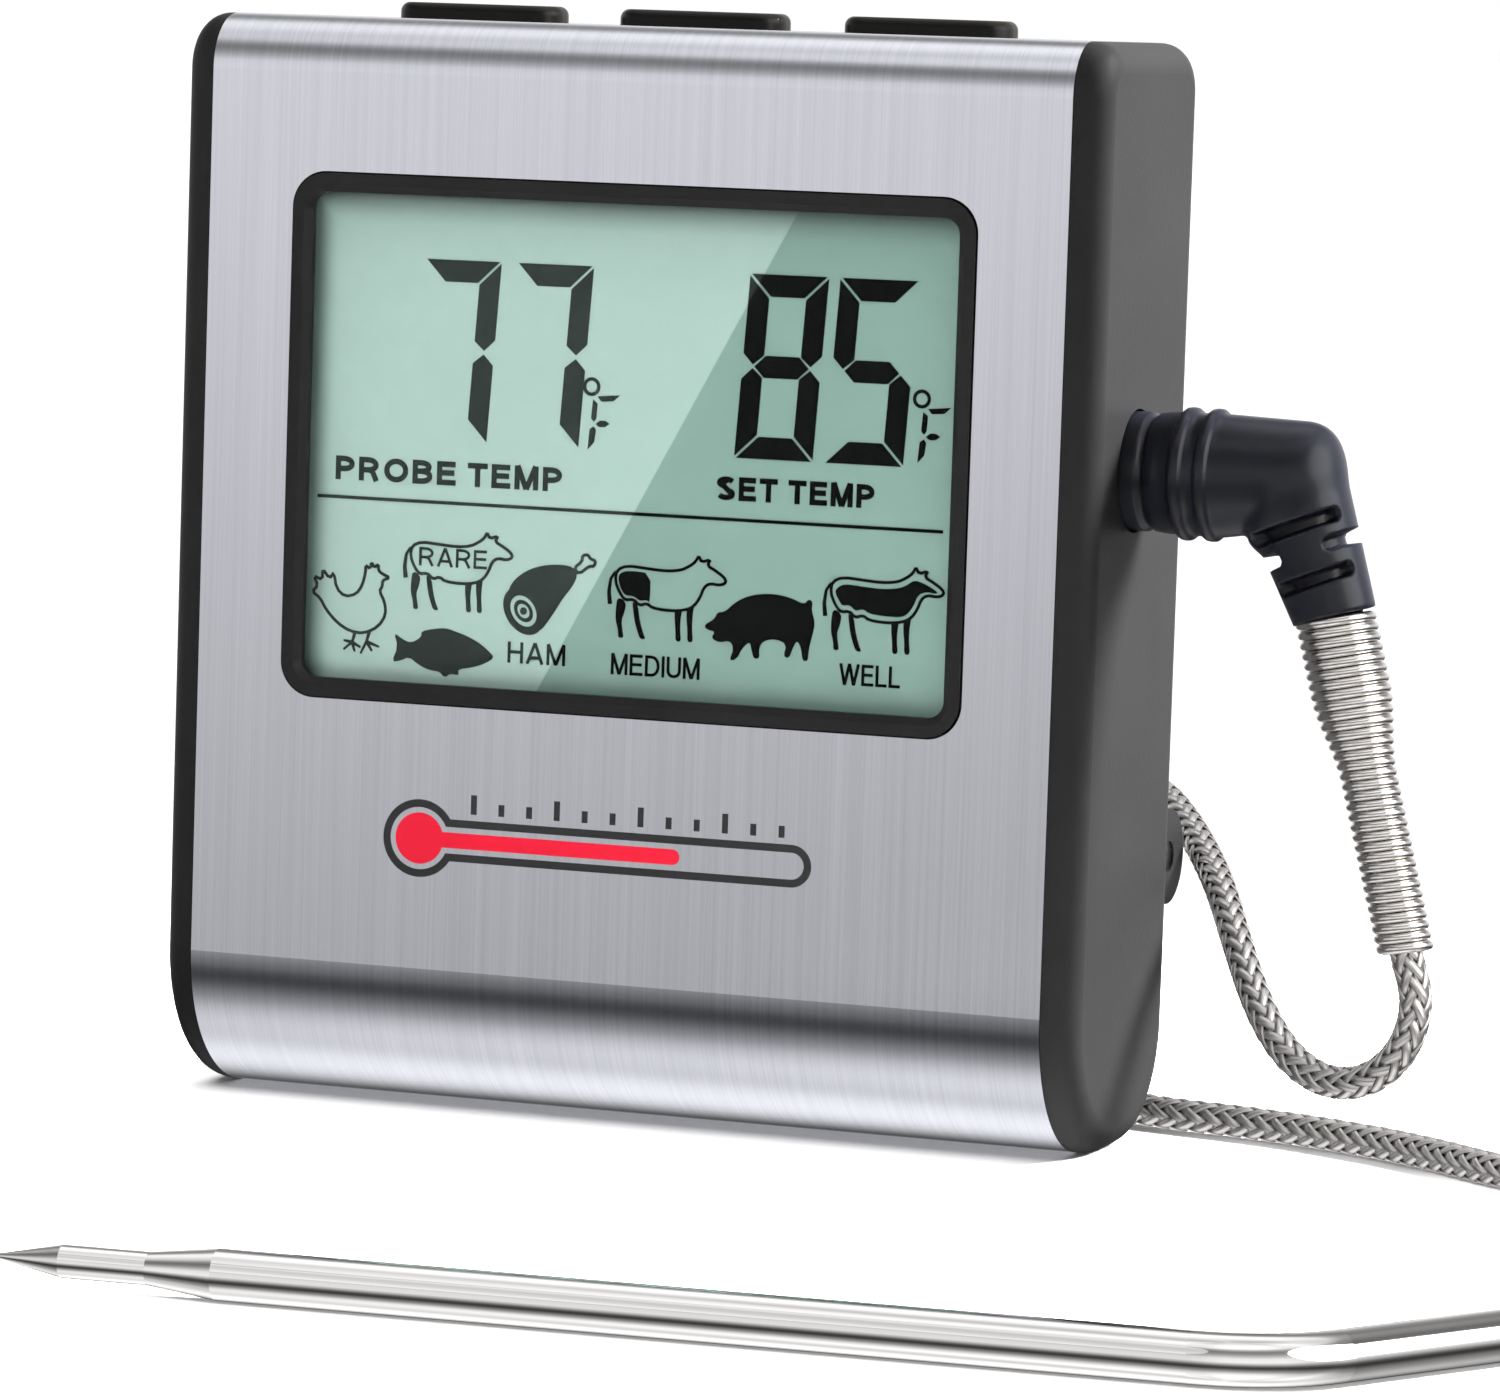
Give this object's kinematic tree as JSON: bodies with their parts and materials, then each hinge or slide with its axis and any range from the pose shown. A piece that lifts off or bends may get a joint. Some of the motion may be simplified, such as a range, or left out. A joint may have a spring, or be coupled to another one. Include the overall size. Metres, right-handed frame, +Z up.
{
  "type": "digital meat thermometer",
  "caption": "Upright digital meat thermometer with a display, top keys, folding magnetic stand and a bent steel probe on a braided cable.",
  "frame": {"origin": "on the flat under the case, at the middle of its width and of its depth", "axes": "+Z up, -Y the display side, +X the side with the probe jack"},
  "size_m": [0.1258, 0.1145, 0.0711],
  "materials": {
    "brushed_steel": "brushed along the height, satin",
    "black_plastic": "fine moulded texture",
    "grey_black_plastic": "soft-touch matt",
    "bezel_plastic": "satin moulded",
    "clear_lens": "clear acrylic, polished",
    "lcd_screen": "grey-green liquid-crystal pane",
    "reflector_foil": "satin foil",
    "contact_rubber": "striped conductive rubber",
    "board_green": "solder mask",
    "epoxy_black": "glob of epoxy",
    "gloss_black": "moulded",
    "nickel": "nickel plated",
    "battery_wrap": "plain printed sleeve with steel ends",
    "key_plastic": "satin moulded",
    "zinc_steel": "zinc plated",
    "foot_rubber": "matt",
    "boot_rubber": "satin moulded",
    "spring_steel": "bright drawn wire",
    "braided_steel": "braided stainless wire",
    "tie_plastic": "plain",
    "probe_steel": "polished stainless"
  },
  "bodies": {
    "case": {"battery": "battery_wrap", "battery_tray": "black_plastic", "buzzer": "gloss_black", "case_screws": "zinc_steel", "circuit_board": "board_green", "contact_strips": "contact_rubber", "controller_chip": "epoxy_black", "display_lens": "clear_lens", "front_chassis": "black_plastic", "hinge_pins": "zinc_steel", "jack_terminals": "nickel", "key_switches": "gloss_black", "lcd_glass": "lcd_screen", "lcd_reflector": "reflector_foil", "left_end_cap": "grey_black_plastic", "negative_contact": "nickel", "positive_contact": "nickel", "probe_jack": "gloss_black", "rear_cover": "black_plastic", "right_end_cap": "grey_black_plastic", "steel_cover": "brushed_steel", "window_bezel": "bezel_plastic"},
    "left_key": {"left_key": "key_plastic", "left_plunger": "gloss_black"},
    "middle_key": {"middle_key": "key_plastic", "middle_plunger": "gloss_black"},
    "right_key": {"right_key": "key_plastic", "right_plunger": "gloss_black"},
    "battery_door": {"battery_door": "black_plastic"},
    "stand": {"stand_leg": "black_plastic", "stand_foot": "foot_rubber", "magnets": "nickel"},
    "probe_lead": {"plug_pin": "nickel", "plug_boot": "boot_rubber", "strain_spring": "spring_steel", "cable_core": "braided_steel", "cable_run": "braided_steel", "cable_coil": "braided_steel", "cable_tie": "tie_plastic", "cable_tail": "braided_steel", "crimp_ring": "probe_steel", "probe_shaft": "probe_steel", "probe_tip": "probe_steel", "thermistor": "epoxy_black"}
  },
  "joints": [
    {"name": "left_key_press", "type": "slide", "parent": "case", "child": "left_key", "axis": [0, 0, -1], "range_m": [0, 0.0006], "stiffness_N_per_m": 1200},
    {"name": "middle_key_press", "type": "slide", "parent": "case", "child": "middle_key", "axis": [0, 0, -1], "range_m": [0, 0.0006], "stiffness_N_per_m": 1200},
    {"name": "right_key_press", "type": "slide", "parent": "case", "child": "right_key", "axis": [0, 0, -1], "range_m": [0, 0.0006], "stiffness_N_per_m": 1200},
    {"name": "battery_door_swing", "type": "hinge", "parent": "case", "child": "battery_door", "pos_m": [-0.002, 0.0093, 0.0469], "axis": [-1, 0, 0], "range_deg": [0, 90]},
    {"name": "stand_swing", "type": "hinge", "parent": "case", "child": "stand", "pos_m": [0, 0.0133, 0.0175], "axis": [-1, 0, 0], "range_deg": [0, 127]},
    {"name": "probe_plug_slide", "type": "slide", "parent": "case", "child": "probe_lead", "axis": [1, 0, 0], "range_m": [0, 0.014]}
  ]
}
